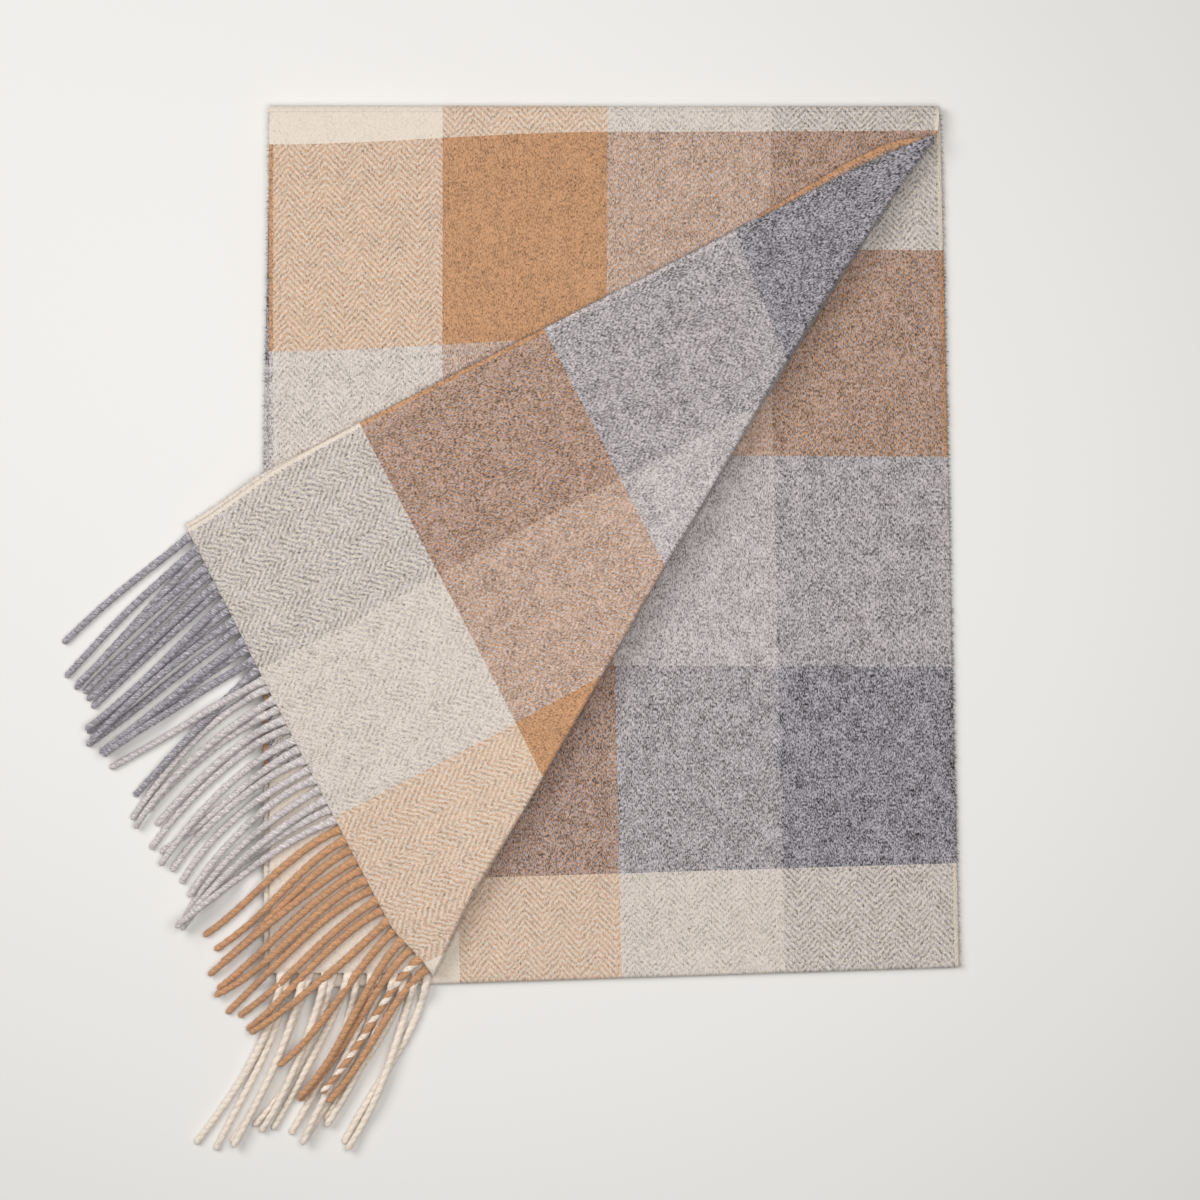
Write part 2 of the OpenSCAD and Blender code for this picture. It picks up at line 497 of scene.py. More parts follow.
def leaf_rows():
    """Distances of the leaf's rows from the fringed end: those that end at the crease, and the rest."""
    at_crease = np.linspace(0, CREASE_END - 1, int(CREASE_END / GRID))
    above = np.linspace(CREASE_END + 2.5, END_LENGTH, 4)
    return at_crease, above


def leaf_grid(z, amount, is_upper):
    """The part of one leaf layer that stays in place."""
    q = np.concatenate(leaf_rows())
    share = np.linspace(0, 1, int(WIDTH / GRID) + 1)
    u = share[None, :] * crease_u(q)[:, None]
    q = np.broadcast_to(q[:, None], u.shape)
    grid = leaf_place(u - HALF_W, q + END_Y, np.full_like(u, z), amount)
    return grid, leaf_weave(u, q, is_upper)


def leaf_weave(u, q, is_upper):
    """Place in the weave of a point of the leaf or of its turned corner."""
    if not is_upper:
        return np.stack([u, q - 9.0 * ramp(q, 385, 45)], -1)
    return np.stack([u, V_UPPER + END_LENGTH - q + row_bow(u)], -1)


def corner_grid(z, amount, is_upper, loft, shift_u=None):
    """One layer of the turned corner; shift_u moves its selvedge outwards, as a function of q."""
    at_crease = leaf_rows()[0]
    share = np.linspace(0, 1, int((WIDTH - FOOT_U) / GRID) + 1)
    start = crease_u(at_crease)
    u = start[:, None] + share[None, :] * (WIDTH - start)[:, None]
    q = np.broadcast_to(at_crease[:, None], u.shape)
    grid = corner_place(u, q, np.full_like(u, z), amount, loft)
    if shift_u:
        out = shift_u(q) * share[None, :] ** 2
        grid[..., :2] += out[..., None] * TURNED_U
    return grid, leaf_weave(u, q, is_upper)


def fold_grid(below, above, outward, bulge, steps=FOLD_STEPS):
    """Half a round fold from a lower border to an upper one."""
    lines = []
    for angle in np.pi * np.arange(steps + 1) / steps:
        line = below + (above - below) * (1 - math.cos(angle)) / 2
        line[:, :2] += np.outer(bulge * math.sin(angle) * np.ones(len(line)), outward)
        lines.append(line)
    return np.array(lines)


def parted_fold_grid(below, above, outward, bulge, parting):
    """The same with two level rows in its middle, on both sides of the height where it parts."""
    steps = FOLD_STEPS + 1
    lines = fold_grid(below, above, outward, bulge, steps)
    half_rows = len(lines) // 2
    rise = 1 - np.cos(np.pi * np.arange(half_rows) / steps)
    for k, share in enumerate(rise / rise[-1]):
        lines[k][:, 2] = below[:, 2] + (Z_PARTING - parting - below[:, 2]) * share
        lines[-1 - k][:, 2] = above[:, 2] + (Z_PARTING + parting - above[:, 2]) * share
    return lines


def weave_from_top(lines, weave_above, step):
    """The pattern runs on from the upper border of a fold, by step for each millimetre."""
    lengths = np.linalg.norm(np.diff(lines, axis=0), axis=-1)
    from_top = np.cumsum(lengths[::-1], axis=0)[::-1]
    from_top = np.concatenate([from_top, np.zeros((1, lines.shape[1]))])
    return weave_above + from_top[..., None] * step


def weave_across_parting(lines, weave_border, outward, reach):
    """The pattern of a hidden fold, which keeps its scale where the fold is drawn out flat."""
    share = np.linspace(0, 1, len(lines) // 2)
    share = np.concatenate([-share, share[::-1]])
    return weave_border + share[:, None, None] * reach[None, :, None] * outward


# ---------------- materials
def new_material(name):
    material = bpy.data.materials.new(name)
    material.use_nodes = True
    tree = material.node_tree
    shader = tree.nodes["Principled BSDF"]
    shader.inputs["Roughness"].default_value = 0.92
    shader.inputs["Specular IOR Level"].default_value = 0.15
    shader.inputs["Sheen Weight"].default_value = 0.25
    shader.inputs["Sheen Roughness"].default_value = 0.6
    return material, tree, shader


class Maths:
    """Short names for the node sums of one material."""

    def __init__(self, tree):
        self.tree = tree

    def feed(self, socket, value):
        if isinstance(value, bpy.types.NodeSocket):
            self.tree.links.new(value, socket)
        else:
            socket.default_value = value

    def sum(self, kind, *values, clamp=False):
        node = self.tree.nodes.new("ShaderNodeMath")
        node.operation = kind
        node.use_clamp = clamp
        for socket, value in zip(node.inputs, values):
            self.feed(socket, value)
        return node.outputs[0]

    def attribute(self, name):
        node = self.tree.nodes.new("ShaderNodeAttribute")
        node.attribute_name = name
        split = self.tree.nodes.new("ShaderNodeSeparateXYZ")
        self.tree.links.new(node.outputs["Vector"], split.inputs[0])
        return split.outputs

    def noise(self, x, y, z, scale_x, scale_y, detail=1.0):
        join = self.tree.nodes.new("ShaderNodeCombineXYZ")
        self.feed(join.inputs[0], self.sum("DIVIDE", x, scale_x))
        self.feed(join.inputs[1], self.sum("DIVIDE", y, scale_y))
        self.feed(join.inputs[2], z)
        node = self.tree.nodes.new("ShaderNodeTexNoise")
        node.inputs["Scale"].default_value = 1.0
        node.inputs["Detail"].default_value = detail
        self.tree.links.new(join.outputs[0], node.inputs["Vector"])
        return self.sum("SUBTRACT", node.outputs[0], 0.5)

    def white(self, i, j, seed):
        """One random value for each stitch."""
        join = self.tree.nodes.new("ShaderNodeCombineXYZ")
        for socket, value in zip(join.inputs, (i, j, seed)):
            self.feed(socket, value)
        node = self.tree.nodes.new("ShaderNodeTexWhiteNoise")
        node.noise_dimensions = "3D"
        self.tree.links.new(join.outputs[0], node.inputs["Vector"])
        return self.sum("SUBTRACT", node.outputs["Value"], 0.5)

    def steps(self, value, stops):
        """A ramp of flat steps; stops are (place from 0 to 1, colour)."""
        node = self.tree.nodes.new("ShaderNodeValToRGB")
        ramp = node.color_ramp
        ramp.interpolation = "CONSTANT"
        while len(ramp.elements) < len(stops):
            ramp.elements.new(0.5)
        for element, (place, colour) in zip(ramp.elements, stops):
            element.position = place
            element.color = (*colour, 1.0)
        self.tree.links.new(value, node.inputs[0])
        return node.outputs[0]

    def mix(self, share, a, b):
        node = self.tree.nodes.new("ShaderNodeMix")
        node.data_type = "RGBA"
        self.feed(node.inputs[0], share)
        for socket, value in ((node.inputs[6], a), (node.inputs[7], b)):
            self.feed(socket, value if isinstance(value, bpy.types.NodeSocket) else (*value, 1.0))
        return node.outputs[2]

    def scaled(self, colour, factor):
        node = self.tree.nodes.new("ShaderNodeVectorMath")
        node.operation = "SCALE"
        self.tree.links.new(colour, node.inputs[0])
        self.feed(node.inputs["Scale"], factor)
        return node.outputs[0]

    def bump(self, height, distance, strength, shader):
        node = self.tree.nodes.new("ShaderNodeBump")
        node.inputs["Distance"].default_value = distance
        node.inputs["Strength"].default_value = strength
        self.tree.links.new(height, node.inputs["Height"])
        self.tree.links.new(node.outputs[0], shader.inputs["Normal"])


def row_stops(values):
    return [(0.25 * i, values[yarn]) for i, yarn in enumerate(ROW_YARNS)]


def column_stops(values):
    return [(place / WIDTH, values[yarn]) for place, yarn in zip(COLUMNS, COLUMN_YARNS)]


def weft_phase(m, v):
    """Place within the repeat of colour rows, from 0 to 1."""
    held = m.sum("MINIMUM", v, V_END)
    return m.sum("FRACT", m.sum("DIVIDE", m.sum("SUBTRACT", held, ROW_START), ROW_REPEAT))


# herringbone: width of a column of ribs, distance and slope of the ribs, and width of a yarn
TWILL_HALF = 9.65
TWILL_PITCH = 3.6
TWILL_SLOPE = 1.1
YARN_W = TWILL_PITCH / 4
# width of the plain band of weft at a selvedge
SELVEDGE = 1.8
# seed, size across and along, and amount of speckle, from single fibres up to fingertip patches
SPECKLE_PARTS = ((3.0, 0.6, 1.35, 2.0), (4.0, 2.0, 4.2, 0.75), (5.0, 9.0, 13.0, 0.45))
# height in metres and strength of the relief
CLOTH_BUMP = (0.0006, 0.45)
YARN_BUMP = (0.0004, 0.5)


def stitch(m, value):
    """Number of the yarn that a place belongs to."""
    return m.sum("FLOOR", m.sum("DIVIDE", value, YARN_W))


def speckle(m, u, v):
    """Unevenness of the brushed surface."""
    total = 0.0
    for seed, across, along, amount in SPECKLE_PARTS:
        value = m.noise(u, v, seed, across, along)
        total = m.sum("ADD", total, m.sum("MULTIPLY", value, amount))
    return total


def mottled(m, colour, amount, surface, own):
    """A yarn colour made uneven; dark fibres stand out more than light ones."""
    total = m.sum("ADD", surface, m.sum("MULTIPLY", own, 0.55))
    uneven = m.sum("SUBTRACT", total, m.sum("MULTIPLY", m.sum("MULTIPLY", total, total), 0.9))
    return m.scaled(colour, m.sum("EXPONENT", m.sum("MULTIPLY", uneven, amount)))


def twill_wave(m, u, v):
    """Herringbone ribs, from -1 to 1, broken up stitch by stitch."""
    drift = m.sum("MULTIPLY", m.noise(u, v, 31.0, 7.0, 7.0), 2.0)
    zigzag = m.sum("MULTIPLY", m.sum("PINGPONG", m.sum("ADD", u, drift), TWILL_HALF), TWILL_SLOPE)
    turns = m.sum("DIVIDE", m.sum("ADD", v, m.sum("ADD", zigzag, drift)), TWILL_PITCH)
    jitter = m.white(stitch(m, u), stitch(m, v), 41.0)
    angle = m.sum("ADD", m.sum("MULTIPLY", turns, 2 * math.pi), m.sum("MULTIPLY", jitter, 1.9))
    return m.sum("SINE", angle)


def cloth_material():
    """Brushed two-and-two herringbone twill whose warp and weft both change colour."""
    material, tree, shader = new_material("herringbone_check")
    m = Maths(tree)
    u, v, _ = m.attribute("weave")
    across = m.sum("DIVIDE", u, WIDTH)
    phase = weft_phase(m, v)
    speckles = {yarn: (value,) * 3 for yarn, value in YARN_SPECKLE.items()}
    warp = m.steps(across, column_stops(YARN_COLOUR))
    weft = m.steps(phase, row_stops(YARN_COLOUR))
    surface = speckle(m, u, v)
    warp_own = m.white(stitch(m, u), stitch(m, v), 61.0)
    weft_own = m.white(stitch(m, u), stitch(m, v), 62.0)
    warp = mottled(m, warp, m.steps(across, column_stops(speckles)), surface, warp_own)
    weft = mottled(m, weft, m.steps(phase, row_stops(speckles)), surface, weft_own)

    wave = twill_wave(m, u, v)
    fuzz = m.noise(u, v, 5.0, 0.9, 1.5)
    share = m.sum("ADD", WEFT_SHARE, m.sum("MULTIPLY", wave, TWILL_CONTRAST))
    share = m.sum("ADD", share, m.sum("MULTIPLY", fuzz, 1.0), clamp=True)
    from_edge = m.sum("MINIMUM", u, m.sum("SUBTRACT", WIDTH, u))
    ragged = m.sum("ADD", from_edge, m.sum("MULTIPLY", m.noise(u, v, 51.0, 1.0, 1.0), 3.0))
    share = m.sum("MAXIMUM", share, m.sum("LESS_THAN", ragged, SELVEDGE))
    tree.links.new(m.mix(share, warp, weft), shader.inputs["Base Color"])
    height = m.sum("ADD", m.sum("MULTIPLY", wave, 0.12), m.sum("ADD", fuzz, surface))
    m.bump(height, *CLOTH_BUMP, shader)
    return material


def yarn_material(yarn, second=None):
    """Softly twisted yarn with streaks of fibre, painted shade in the groove between its plies and painted
    light over all; second is the colour of the other ply.
    """
    material, tree, shader = new_material(f"{yarn}_{second or 'plain'}_yarn")
    m = Maths(tree)
    groove, side, place = m.attribute("twist")
    other = YARN_COLOUR[second or yarn]
    colour = m.mix(m.sum("GREATER_THAN", side, 0.35), YARN_COLOUR[yarn], other)
    drift = m.sum("MULTIPLY", place, 0.035)
    streaks = m.noise(m.sum("ADD", groove, drift), m.sum("ADD", side, drift), 1.0, 0.25, 0.25)
    flecks = m.noise(groove, place, 4.0, 0.3, 1.1)
    fibre = m.sum("ADD", streaks, flecks)
    factor = m.sum("EXPONENT", m.sum("MULTIPLY", fibre, 0.35 + 0.9 * YARN_SPECKLE[yarn]))
    # painted shade: the yarn is darker in the groove between its two plies; the tassel factor then
    # brightens it as painted light
    painted_shade_and_light = m.sum("ADD", 0.93, m.sum("MULTIPLY", m.sum("ABSOLUTE", side), 0.15))
    painted_shade_and_light = m.sum("MULTIPLY", painted_shade_and_light, TASSEL_PAINTED_LIGHT[yarn])
    tree.links.new(m.scaled(colour, m.sum("MULTIPLY", factor, painted_shade_and_light)), shader.inputs["Base Color"])
    m.bump(fibre, *YARN_BUMP, shader)
    return material


# ---------------- cloth pieces
cloth = cloth_material()


def dress(piece, material, body=None):
    piece.data.materials.append(material)
    if body:
        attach(piece, body)


def layer(node, body, grid, weave, seams, free_side):
    """One flat layer of cloth, with whiskers along its free selvedge."""
    fuzzy = [selvedge(grid, weave, free_side)]
    piece = thick_sheet(node + "_cloth", grid, weave, seams=seams, fuzzy=fuzzy)
    dress(piece, cloth, body)
    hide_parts(node)
    return piece


def under_shift(q):
    """The under layer of the turned corner shows past the outer one at both ends of its selvedge."""
    upper = 5.2 * np.clip((q - 316) / 70, 0, 1) ** 0.85 * (1 - ramp(q, 412, 24))
    return upper + 2.4 * (1 - ramp(q, 20, 70))


stack_mid, stack_weave = stack_grid()
both_selvedges = [selvedge(stack_mid, stack_weave, side) for side in (0, -1)]
stack = thick_sheet("stack_cloth", stack_mid, stack_weave, ("first", "last"), -1.0, both_selvedges)
dress(stack, cloth, "stack")
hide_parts("panel_bottom", "panel_second", "fold_bottom")

lower_mid, lower_weave = leaf_grid(Z_LOWER, SWELL_LOWER, False)
upper_mid, upper_weave = leaf_grid(Z_UPPER, SWELL_UPPER, True)
under_mid, under_weave = corner_grid(Z_UNDER, SWELL_UNDER, True, UNDER_LOFT, under_shift)
outer_mid, outer_weave = corner_grid(Z_OUTER, SWELL_OUTER, False, CREASE_LOFT)
leaf_lower = layer("leaf_lower", "upper_leaf", lower_mid, lower_weave, ("last", "right"), 0)
leaf_upper = layer("leaf_upper", "upper_leaf", upper_mid, upper_weave, ("last", "right"), 0)
flap_under = layer("flap_under", "corner_flap", under_mid, under_weave, ("left",), -1)
flap_outer = layer("flap_outer", "corner_flap", outer_mid, outer_weave, ("left",), -1)


def fold_piece(node, grid, weave, fuzzy=()):
    """A round fold between two layers."""
    piece = thick_sheet(node + "_cloth", grid, weave, ("first", "last"), -1.0, fuzzy)
    dress(piece, cloth)
    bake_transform(piece)
    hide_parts(node)


def top_fold_piece(node, stack_line, leaf_line, leaf_line_weave, bulge, v_sign):
    """A strip of the top fold, from a border of the stack to the leaf's last row."""
    share = np.linspace(0, 1, len(stack_line))
    source = np.linspace(0, 1, len(leaf_line))
    above = interpolated(share, source, leaf_line)
    weave_above = interpolated(share, source, leaf_line_weave)
    grid = fold_grid(stack_line, above, np.array([0.0, 1.0]), bulge)
    weave = weave_from_top(grid, weave_above, np.array([0.0, v_sign]))
    fold_piece(node, grid, weave)


def crease_strip(leaf_mid, corner_mid, bulge, parting):
    """Grid of a strip of the crease; its bulge is small near the tip, where the crease is sharp."""
    at_crease = leaf_rows()[0]
    s = at_crease / ALONG[1]
    bulges = bulge * (0.25 + 0.75 * smooth((CREASE_L - s) / 45))
    below = leaf_mid[: len(at_crease), -1]
    return parted_fold_grid(below, corner_mid[:, 0], -INWARD, bulges, parting), s, bulges


def crease_piece(node, leaf_mid, corner_mid, corner_weave, bulge, is_outer):
    """A strip of the crease, with two level rows on both sides of one height above the leaf."""
    parting = PARTING_OUTER if is_outer else PARTING_INNER
    grid, s, bulges = crease_strip(leaf_mid, corner_mid, bulge, parting)
    fuzzy = []
    if is_outer:
        weave = weave_from_top(grid, corner_weave[:, 0], INWARD)
        away = np.broadcast_to([-INWARD[0], -INWARD[1], 0.1], grid[0].shape)
        fuzzy = [(grid[row], away, weave[row]) for row in (-2, -3, -3, -4)]
    else:
        reach = np.maximum(crease_shift(s) - bulges, 0)
        outward = np.array([-INWARD[0], INWARD[1]])
        weave = weave_across_parting(grid, corner_weave[:, 0], outward, reach)
    fold_piece(node, grid, weave, fuzzy)


top_fold_piece("fold_top_outer", stack_mid[-1], upper_mid[-1], upper_weave[-1], TOP_BULGE_OUTER, -1.0)
top_fold_piece("fold_top_inner", stack_mid[0], lower_mid[-1], lower_weave[-1], TOP_BULGE_INNER, 1.0)
crease_piece("fold_flap_outer", lower_mid, outer_mid, outer_weave, CREASE_BULGE, True)
crease_piece("fold_flap_inner", upper_mid, under_mid, under_weave, 0.5 * CREASE_BULGE, False)


# ---------------- tassels
# two plies: radius of one, and distance of its middle from the tassel's middle
PLY_R = 1.76
PLY_OFF = 0.26
ROUND_R = PLY_R + PLY_OFF
TWIST_PITCH = 9.0
# sides of a ring, and distance between rings
SIDES = 12
RING_STEP = 0.8
FIBRES_PER_MM = 3.0
FIBRE_R = 0.07
# half width and half height of a root, how soon a tassel is round, and how long its blunt tip is
ROOT_HALF = 2.5
ROOT_FLAT = 0.8
FLARE = 6.0
TIP_L = 2.2
TASSEL_COUNT = 30
TASSEL_PITCH = WIDTH / TASSEL_COUNT
TASSEL_L = 96.0
# how soon a tassel lies on what is below it, and how many of its points settle together
SETTLE_L = 16
SETTLE_POINTS = 21
# corner of the height map, its size in cells, and the right border of the cloth that it has to know
MAP_LOW = (-320, -350)
MAP_CELLS = (260, 640)
MAP_CLOTH_X = -62

# heading of each tassel in degrees, in order of the roots across the width
HEADINGS = {
    ("tan", "upper"): (232, 233, 231, 222, 221, 219, 221, 217.5),
    ("tan", "lower"): (234, 234.5, 220, 220, 218, 219, 220.5),
    ("light", "upper"): (218, 223.5, 221, 217, 222, 219, 224),
    ("light", "lower"): (214.5, 219.5, 223, 219.7, 222.7, 219.5, 224, 210),
    ("dark", "upper"): (226, 216, 219, 222, 222.5, 223.5, 228, 219),
    ("dark", "lower"): (213.5, 217, 220, 222.3, 222, 221.6, 224.5),
    ("cream", "upper"): (243, 250, 247, 244, 249, 245, 247),
    ("cream", "lower"): (249, 246, 243, 248, 246, 241, 244),
}
# differences from the usual length, which the tassels take by turns
LENGTHS = (0, 3, -4, -8, -2, 5, -5, 1, 4)
# how far each colour's tassels have turned towards their chord at the root, and past it at the tip
BENDS = {"dark": (0.75, 0.1), "light": (-0.1, 0.9), "tan": (0.1, -0.3), "cream": (0.3, 0.3)}


class Heights:
    """Height of what already lies on the table, in cells of one millimetre."""

    def __init__(self):
        self.top = np.zeros(MAP_CELLS)

    def cell_of(self, points, dx=0, dy=0):
        """Cells of points that are moved by whole millimetres."""
        i = np.clip((points[:, 0] - MAP_LOW[0] + dx).astype(int), 0, MAP_CELLS[0] - 1)
        j = np.clip((points[:, 1] - MAP_LOW[1] + dy).astype(int), 0, MAP_CELLS[1] - 1)
        return i, j

    def cells(self, points, radius):
        """Cells within a radius of the points, and how far away they are."""
        span = int(math.ceil(radius))
        near = range(-span, span + 1)
        for dx in near:
            for dy in near:
                if dx * dx + dy * dy > radius * radius + 1:
                    continue
                yield self.cell_of(points, dx, dy), math.hypot(dx, dy)

    def under(self, points, radius):
        """Highest thing within a radius of each point."""
        found = np.zeros(len(points))
        for cell, _ in self.cells(points, radius):
            found = np.maximum(found, self.top[cell])
        return found

    def lay(self, points, top, radius):
        """Adds a tassel whose upper side has this height along its middle."""
        for cell, far in self.cells(points, radius):
            fall = radius - math.sqrt(max(radius * radius - far * far, 0.0))
            np.maximum.at(self.top, cell, top - fall)

    def lay_cloth(self, grid):
        """Adds a sheet, at five steps between the points of its grid."""
        for share in np.linspace(0, 1, 5):
            line = grid[:, :-1] * (1 - share) + grid[:, 1:] * share
            for other in np.linspace(0, 1, 5):
                both = (line[:-1] * (1 - other) + line[1:] * other).reshape(-1, 3)
                both = both[both[:, 0] < MAP_CLOTH_X]
                np.maximum.at(self.top, self.cell_of(both), both[:, 2] + HALF_THICK)


def bezier(points, count):
    """Points of a cubic curve from its four control points."""
    t = np.linspace(0, 1, count)[:, None]
    a, b, c, d = points
    return a * (1 - t) ** 3 + 3 * b * t * (1 - t) ** 2 + 3 * c * t * t * (1 - t) + d * t**3


def heading(degrees):
    """Unit vector of a heading."""
    return np.array([math.cos(math.radians(degrees)), math.sin(math.radians(degrees))])


def smoothed(values, width):
    """A soft moving average over an odd number of values."""
    kernel = np.hanning(width + 2)[1:-1]
    kernel = kernel / kernel.sum()
    before = np.full(width // 2, values[0])
    after = np.full(width // 2, values[-1])
    return np.convolve(np.concatenate([before, values, after]), kernel, "valid")[: len(values)]


def evenly(path, step):
    """The path with points at even distances."""
    far = distance_along(path)
    want = np.linspace(0, far[-1], int(far[-1] / step) + 1)
    return interpolated(want, far, path)


def tassel_curve(root, normal, chord, length, bend, rng):
    """A tassel seen from above: it leaves the edge squarely and bends to its chord."""
    start = math.degrees(math.atan2(normal[1], normal[0])) % 360
    turn = chord - start
    tip = root + heading(chord) * length
    first = start + bend[0] * turn + rng.normal(0, 4)
    final = chord + bend[1] * turn + rng.normal(0, 5)
    shape = [root, root + heading(first) * 0.28 * length, tip - heading(final) * 0.36 * length, tip]
    path = evenly(bezier(shape, 60), RING_STEP)
    s = np.linspace(0, 1, len(path))
    wobble = 0.5 * np.sin(s * rng.uniform(5, 8) + rng.uniform(0, 6)) * s
    return path + np.outer(wobble, [-normal[1], normal[0]])


def tassel_path(root, edge, chord, length, bend, heights, rng):
    """Centre line of one tassel, which settles on what lies below."""
    normal = np.array([edge[1], -edge[0]])
    path = tassel_curve(root[:2], normal, chord, length, bend, rng)
    s = np.linspace(0, 1, len(path))
    rest = heights.under(path, 1.6) + 0.88 * ROUND_R
    held = np.array([rest[max(0, i - 5) : i + 6].max() for i in range(len(rest))])
    level = smoothed(held, SETTLE_POINTS)
    leave = smooth(s * length / SETTLE_L)
    z = root[2] * (1 - leave) + level * leave
    z = np.maximum(z, rest - 1.2 + (root[2] - rest[0] + 1.2) * (1 - leave))
    z = smoothed(z, 7)
    z[0] = root[2]
    heights.lay(path[16:], z[16:] + 0.8 * ROUND_R, ROUND_R)
    return np.concatenate([path, z[:, None]], 1)


def tassel_axes(path, edge, s):
    """Directions across a tassel and upwards from it; its root lies along the edge of the cloth."""
    tangent = unit(np.gradient(path, axis=0))
    side = unit(np.cross(np.array([0, 0, 1.0]), tangent))
    up = np.cross(tangent, side)
    along_edge = np.array([edge[0], edge[1], 0.0])
    if side[0] @ along_edge < 0:
        along_edge = -along_edge
    share = smooth(s / 5)[:, None]
    return side * share + along_edge * (1 - share), up


def tassel_mesh(path, edge, phase, rng):
    """Rings of two plies twisted together, flat where they leave the cloth and blunt at the tip."""
    s = np.arange(len(path)) * RING_STEP
    side, up = tassel_axes(path, edge, s)
    angle = np.linspace(0, 2 * math.pi, SIDES, endpoint=False)
    turn = 2 * math.pi * s / (TWIST_PITCH * rng.uniform(0.8, 1.3)) + phase
    local = angle[None, :] - turn[:, None]
    radius = PLY_OFF * np.abs(np.cos(local)) + np.sqrt(PLY_R**2 - (PLY_OFF * np.sin(local)) ** 2)
    to_tip = np.minimum((s[-1] - s) / TIP_L, 1)
    blunt = np.sqrt(np.clip(1 - (1 - to_tip) ** 2, 0.02, 1))[:, None]
    frayed = 1 + 0.045 * rng.normal(size=radius.shape)
    taper = 1.1 - 0.24 * (s / s[-1])[:, None]
    radius = radius * blunt * frayed * taper
    flare = smooth(s / FLARE)[:, None]
    cos, sin = np.cos(angle)[None, :], np.sin(angle)[None, :]
    wide = radius * cos * flare + ROOT_HALF * cos * (1 - flare)
    tall = radius * sin * flare + ROOT_FLAT * sin * (1 - flare)
    points = path[:, None, :] + side[:, None, :] * wide[..., None] + up[:, None, :] * tall[..., None]
    twist = np.stack([np.sin(local), np.cos(local), np.broadcast_to(s[:, None], local.shape)], -1)
    return points.reshape(-1, 3), tube_faces(len(path)), twist.reshape(-1, 3)


def tube_faces(rings):
    """Faces of a closed tube of rings."""
    index = np.arange(rings * SIDES).reshape(rings, SIDES)
    turned = np.roll(index, -1, axis=1)
    quads = np.stack([index[:-1], turned[:-1], turned[1:], index[1:]], -1).reshape(-1, 4)
    return quads.tolist() + [index[0][::-1].tolist(), index[-1].tolist()]


def stray_fibres(path, rng):
    """Short fibres that stand out of a tassel all round, as thin closed spikes."""
    count = int(len(path) * RING_STEP * FIBRES_PER_MM)
    at = rng.integers(4, len(path) - 2, count)
    tangent = unit(np.gradient(path, axis=0)[at])
    out = rng.normal(size=(count, 3))
    out[:, 2] = np.abs(out[:, 2]) * 0.7
    out -= tangent * (out * tangent).sum(1, keepdims=True)
    out = unit(out)
    across = np.cross(tangent, out)
    length = rng.uniform(0.5, 1.9, (count, 1))
    root = path[at] + out * 0.8 * PLY_R
    tip = root + (out + tangent * rng.normal(0, 1.0, (count, 1))) * length
    above = root + tangent * SPIKE_TOP * FIBRE_R
    points = np.stack([root - across * FIBRE_R, root + across * FIBRE_R, above, tip], 1)
    faces = 4 * np.arange(count)[:, None, None] + np.array(SPIKE_FACES)
    twist = np.stack([rng.normal(size=count), np.full(count, -0.6), 0.8 * at], 1)
    return points.reshape(-1, 3), faces.reshape(-1, 3).tolist(), np.repeat(twist, 4, axis=0)


def edge_point(grid, u_of_columns, u):
    """Where a tassel leaves the fringed end of a layer: the point and the edge's direction."""
    line = grid[0]
    ahead = interpolated(u + 1, u_of_columns, line)[:2]
    behind = interpolated(u - 1, u_of_columns, line)[:2]
    return interpolated(u, u_of_columns, line), unit(ahead - behind)


def roots(end, yarn):
    """Places across the width where the tassels of one colour leave one end."""
    column = COLUMN_YARNS.index(yarn)
    first = 0.5 if end == "upper" else 1.0
    count = TASSEL_COUNT if end == "upper" else TASSEL_COUNT - 1
    places = [(first + i) * TASSEL_PITCH for i in range(count)]
    return [u for u in places if int(u * 4 / WIDTH + 0.001) == column]


def gathered(name, meshes, material, last_material=None):
    """One piece from several meshes; last_material is for the last one."""
    points, faces, twist, at = [], [], [], 0
    for part_points, part_faces, part_twist in meshes:
        faces += [[i + at for i in face] for face in part_faces]
        points.append(part_points)
        twist.append(part_twist)
        at += len(part_points)
    points = np.concatenate(points)
    piece = add_mesh(name, points, faces, np.zeros_like(points), np.concatenate(twist))
    piece.data.materials.append(material)
    if last_material:
        piece.data.materials.append(last_material)
        index = np.zeros(len(faces), np.int32)
        index[-len(meshes[-1][1]):] = 1
        piece.data.polygons.foreach_set("material_index", index)
    return piece


heights = Heights()
for laid in (stack_mid, lower_mid, upper_mid):
    heights.lay_cloth(laid)
rng = np.random.default_rng(SEED)
yarns = {yarn: yarn_material(yarn) for yarn in COLUMN_YARNS}
candy = yarn_material("tan", "cream")
leaf_u = crease_u(np.zeros(1))[0] * np.linspace(0, 1, upper_mid.shape[1])
corner_u = FOOT_U + (WIDTH - FOOT_U) * np.linspace(0, 1, under_mid.shape[1])


def fringed_end(end, yarn):
    """The layer that tassels leave, and the places of its columns across the width."""
    if yarn == "cream":
        return upper_mid if end == "upper" else lower_mid, leaf_u
    return under_mid if end == "upper" else outer_mid, corner_u


def tassel(end, yarn, k, u):
    """Loose fibres and twisted body of one tassel, the k-th of its colour, with its root at u."""
    point, edge = edge_point(*fringed_end(end, yarn), u)
    chord = HEADINGS[(yarn, end)][k] + rng.normal(0, 0.8)
    length = TASSEL_L + LENGTHS[(k * 5 + len(yarn)) % len(LENGTHS)]
    if np.array([edge[1], -edge[0]]) @ heading(chord) < 0:
        edge = -edge
    path = tassel_path(point, edge, chord, length, BENDS[yarn], heights, rng)
    fibres = stray_fibres(path, rng)
    return [fibres, tassel_mesh(path, edge, rng.uniform(0, 6.28), rng)]


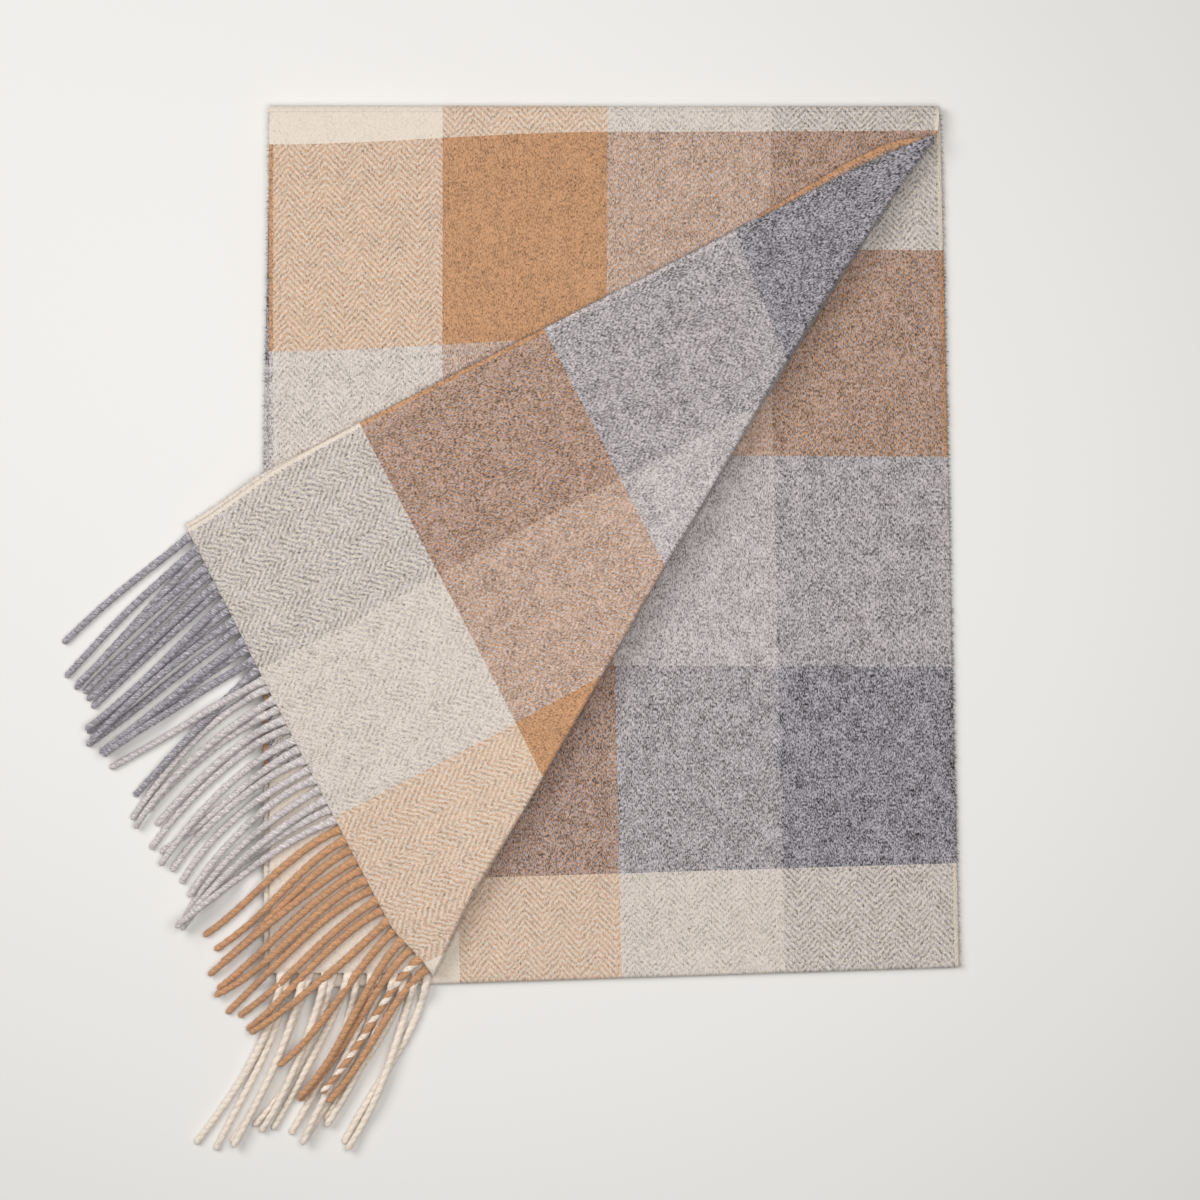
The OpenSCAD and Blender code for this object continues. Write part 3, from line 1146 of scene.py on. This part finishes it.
def tassel_piece(end, yarn):
    """All tassels of one colour at one end. The lower tan one nearest the crease has a cream ply."""
    meshes = []
    for k, u in reversed(list(enumerate(roots(end, yarn)))):
        meshes += tassel(end, yarn, k, u)
    node = f"tassels_{end}_{yarn}"
    is_candy = yarn == "tan" and end == "lower"
    piece = gathered(f"{node}_yarn", meshes, yarns[yarn], candy if is_candy else None)
    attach(piece, "upper_leaf" if yarn == "cream" else "corner_flap")
    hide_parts(node)
    return piece


# in the order in which they lie on each other
TASSEL_ORDER = (
    ("lower", "cream"), ("upper", "cream"), ("upper", "tan"), ("upper", "light"), ("upper", "dark"),
    ("lower", "tan"), ("lower", "light"), ("lower", "dark"),
)
fringe = {(end, yarn): tassel_piece(end, yarn) for end, yarn in TASSEL_ORDER}

# ---------------- floor, light and camera
# in metres, apart from the lens and its sensor, which are in millimetres
FLOOR_COLOUR = (0.80, 0.785, 0.76)
FLOOR_SIZE = 40
WORLD_COLOUR = (1.0, 0.985, 0.965)
WORLD_STRENGTH = 0.205
CAMERA_PLACE = (-0.0026, -0.0288, 2.2)
CAMERA_LENS = 126
CAMERA_SENSOR = 36
# name, place, side and power of each lamp, which all face the origin
LAMPS = (("window", (-1.0, 0.5, 1.3), 1.0, 16.2), ("overhead", (0.1, -0.04, 0.93), 0.6, 5.1))


def make_floor():
    bpy.ops.mesh.primitive_plane_add(size=FLOOR_SIZE, location=(0, 0, 0))
    floor = bpy.context.object
    floor.name = "floor"
    material, _, shader = new_material("paper_white")
    shader.inputs["Sheen Weight"].default_value = 0.0
    shader.inputs["Base Color"].default_value = (*FLOOR_COLOUR, 1)
    floor.data.materials.append(material)


def make_lamp(name, place, size, power):
    light = bpy.data.lights.new(name, "AREA")
    light.shape = "SQUARE"
    light.size = size
    light.energy = power
    lamp = bpy.data.objects.new(name, light)
    lamp.location = place
    lamp.visible_camera = False
    lamp.rotation_euler = (-Vector(place)).to_track_quat("-Z", "Y").to_euler()
    bpy.context.scene.collection.objects.link(lamp)


def make_camera():
    camera = bpy.data.cameras.new("camera")
    camera.lens = CAMERA_LENS
    camera.sensor_width = CAMERA_SENSOR
    holder = bpy.data.objects.new("camera", camera)
    holder.location = CAMERA_PLACE
    bpy.context.scene.collection.objects.link(holder)
    bpy.context.scene.camera = holder


def make_world():
    world = bpy.data.worlds.new("studio")
    world.use_nodes = True
    background = world.node_tree.nodes["Background"]
    background.inputs[0].default_value = (*WORLD_COLOUR, 1)
    background.inputs[1].default_value = WORLD_STRENGTH
    bpy.context.scene.world = world


make_floor()
make_world()
for lamp_values in LAMPS:
    make_lamp(*lamp_values)
make_camera()
bpy.context.scene.view_settings.view_transform = "Standard"
